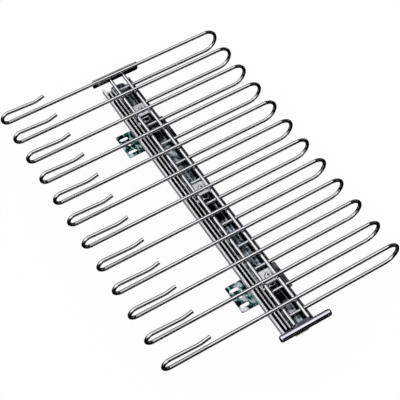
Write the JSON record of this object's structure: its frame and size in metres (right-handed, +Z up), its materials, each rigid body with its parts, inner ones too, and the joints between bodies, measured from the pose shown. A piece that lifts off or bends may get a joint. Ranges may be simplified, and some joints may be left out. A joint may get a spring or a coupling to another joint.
{
  "type": "pull-out trouser rack",
  "caption": "Wardrobe pull-out rack: bent chromed wire trouser hangers on a wire frame that rides one full-extension ball-bearing slide, with slotted mounting brackets and a bar handle.",
  "frame": {"origin": "middle of the object's box, at the underside of the mounting brackets", "axes": "+Z up as the rack lies on its brackets, +Y from the handle to the rear along the slide, +X towards the closed loops"},
  "size_m": [0.3435, 0.4986, 0.0773],
  "materials": {
    "bright_chrome": "bright chrome plate on drawn steel wire and pressed plate",
    "zinc_rail": "bright zinc plate on rolled steel",
    "dark_zinc_rail": "bluish zinc plate on rolled steel",
    "passivated_bracket": "blue-green passivated zinc plate",
    "zinc_fixing": "bright zinc plate",
    "plain_steel": "plain oiled steel",
    "bumper_rubber": "moulded rubber"
  },
  "bodies": {
    "fixed_rail": {"outer_member": "zinc_rail", "rear_bumper": "bumper_rubber", "mount_bracket_rear": "passivated_bracket", "bracket_rivet_rear_rear": "plain_steel", "bracket_rivet_rear_front": "plain_steel", "mount_bracket_front": "passivated_bracket", "bracket_rivet_front_rear": "plain_steel", "bracket_rivet_front_front": "plain_steel"},
    "middle_rail": {"intermediate_member": "dark_zinc_rail"},
    "outer_cage": {"outer_ball_cage": "plain_steel"},
    "inner_cage": {"inner_ball_cage": "plain_steel"},
    "carriage": {"inner_member": "zinc_rail", "rod_left": "bright_chrome", "rod_right": "bright_chrome", "rear_plate": "bright_chrome", "handle_plate": "bright_chrome", "handle_bar": "bright_chrome", "hanger_01": "bright_chrome", "hanger_02": "bright_chrome", "hanger_03": "bright_chrome", "hanger_04": "bright_chrome", "hanger_05": "bright_chrome", "hanger_06": "bright_chrome", "hanger_07": "bright_chrome", "hanger_08": "bright_chrome", "hanger_09": "bright_chrome", "hanger_10": "bright_chrome", "hanger_11": "bright_chrome", "hanger_12": "bright_chrome", "bridge_plate_rear": "bright_chrome", "riser_rear": "bright_chrome", "riser_screw_rear": "zinc_fixing", "riser_nut_rear": "zinc_fixing", "riser_rivet_rear_left": "plain_steel", "riser_rivet_rear_right": "plain_steel", "bridge_plate_middle": "bright_chrome", "riser_middle": "bright_chrome", "riser_screw_middle": "zinc_fixing", "riser_nut_middle": "zinc_fixing", "riser_rivet_middle_left": "plain_steel", "riser_rivet_middle_right": "plain_steel", "bridge_plate_front": "bright_chrome", "riser_front": "bright_chrome", "riser_screw_front": "zinc_fixing", "riser_nut_front": "zinc_fixing", "riser_rivet_front_left": "plain_steel", "riser_rivet_front_right": "plain_steel"}
  },
  "joints": [
    {"name": "rack_slide", "type": "slide", "parent": "fixed_rail", "child": "carriage", "axis": [0, -1, 0], "range_m": [0, 0.44]},
    {"name": "middle_rail_slide", "type": "slide", "parent": "fixed_rail", "child": "middle_rail", "axis": [0, -1, 0], "range_m": [0, 0.22]},
    {"name": "outer_cage_slide", "type": "slide", "parent": "fixed_rail", "child": "outer_cage", "axis": [0, -1, 0], "range_m": [0, 0.11]},
    {"name": "inner_cage_slide", "type": "slide", "parent": "fixed_rail", "child": "inner_cage", "axis": [0, -1, 0], "range_m": [0, 0.33]}
  ],
  "couplings": [
    {"joint": "middle_rail_slide", "follows": "rack_slide", "ratio": 0.5},
    {"joint": "outer_cage_slide", "follows": "rack_slide", "ratio": 0.25},
    {"joint": "inner_cage_slide", "follows": "rack_slide", "ratio": 0.75}
  ]
}
